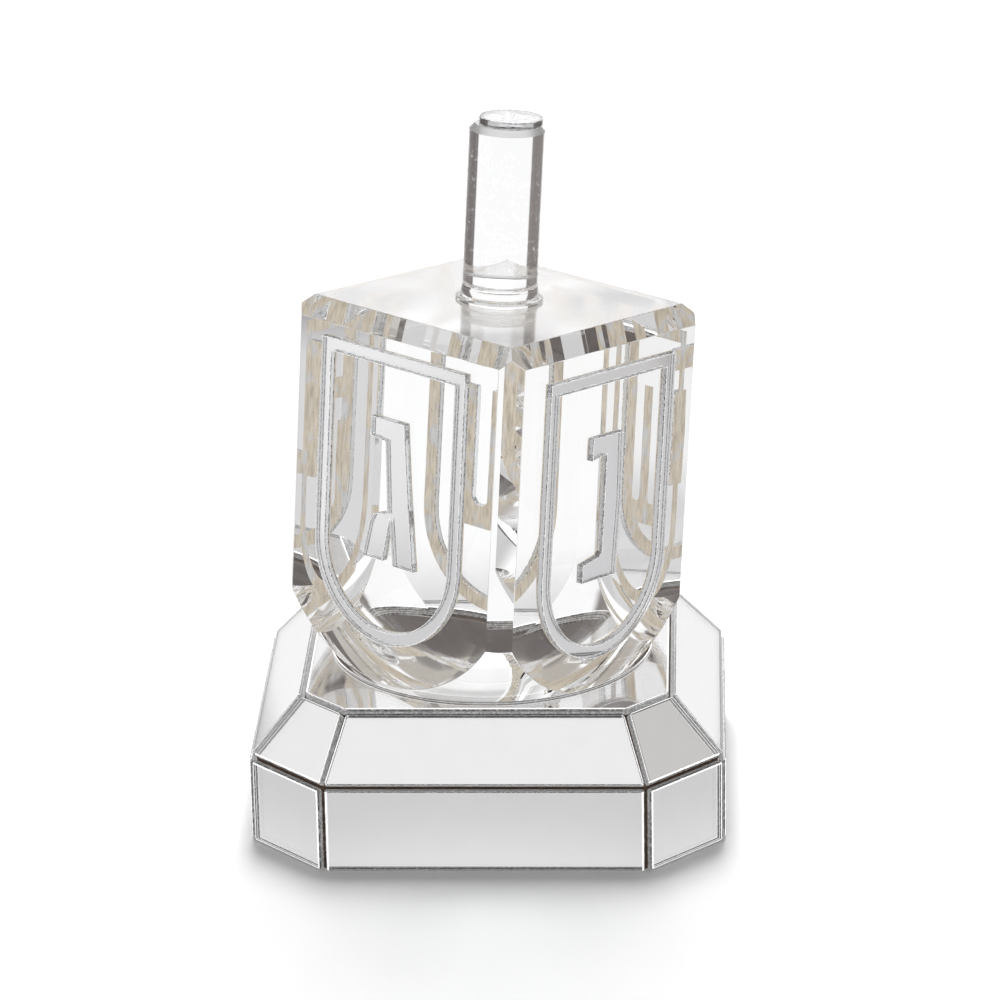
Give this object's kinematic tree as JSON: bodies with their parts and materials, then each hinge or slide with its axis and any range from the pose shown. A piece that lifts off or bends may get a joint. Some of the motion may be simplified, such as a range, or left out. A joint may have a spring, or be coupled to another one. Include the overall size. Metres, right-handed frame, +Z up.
{
  "type": "dreidel",
  "caption": "Clear crystal spinning top with a rod handle, U-shaped mirror frames on its faces and a round bottom, standing in the round socket of an eight-sided mirrored base.",
  "frame": {"origin": "centre of the base's underside, on the table", "axes": "+Z up, -Y towards the front long side of the base, +X to the right"},
  "size_m": [0.08, 0.08, 0.1181],
  "materials": {
    "crystal": "polished clear crystal",
    "clear_adhesive": "clear cast adhesive",
    "frame_mirror": "thin laser-cut mirror plate with ribbed cut edges",
    "adhesive_film": "beige brushed adhesive film",
    "felt": "pale grey felt",
    "fibreboard": "brown fibreboard, grey paint and a pale lining in the socket",
    "base_mirror": "silvered glass with polished edges",
    "base_felt": "brown felt"
  },
  "bodies": {
    "base": {"base_core": "fibreboard", "top_mirror": "base_mirror", "base_felt": "base_felt", "shoulder_mirror_front": "base_mirror", "shoulder_mirror_front_right": "base_mirror", "shoulder_mirror_right": "base_mirror", "shoulder_mirror_back_right": "base_mirror", "shoulder_mirror_back": "base_mirror", "shoulder_mirror_back_left": "base_mirror", "shoulder_mirror_left": "base_mirror", "shoulder_mirror_front_left": "base_mirror", "side_mirror_front": "base_mirror", "side_mirror_front_right": "base_mirror", "side_mirror_right": "base_mirror", "side_mirror_back_right": "base_mirror", "side_mirror_back": "base_mirror", "side_mirror_back_left": "base_mirror", "side_mirror_left": "base_mirror", "side_mirror_front_left": "base_mirror"},
    "seat": {"seat_pad": "felt"},
    "dreidel": {"crystal_body": "crystal", "handle": "crystal", "tip_disc": "crystal", "handle_collar": "clear_adhesive", "frame_front_left": "frame_mirror", "frame_front_right": "frame_mirror", "frame_back_right": "frame_mirror", "frame_back_left": "frame_mirror", "film_front_left": "adhesive_film", "film_front_right": "adhesive_film", "film_back_right": "adhesive_film", "film_back_left": "adhesive_film"}
  },
  "joints": [
    {"name": "spin", "type": "hinge", "parent": "base", "child": "seat", "pos_m": [0, 0, 0.0503], "axis": [0, 0, 1], "continuous": true},
    {"name": "lift_out", "type": "slide", "parent": "seat", "child": "dreidel", "axis": [0, 0, 1], "range_m": [0, 0.04]}
  ]
}
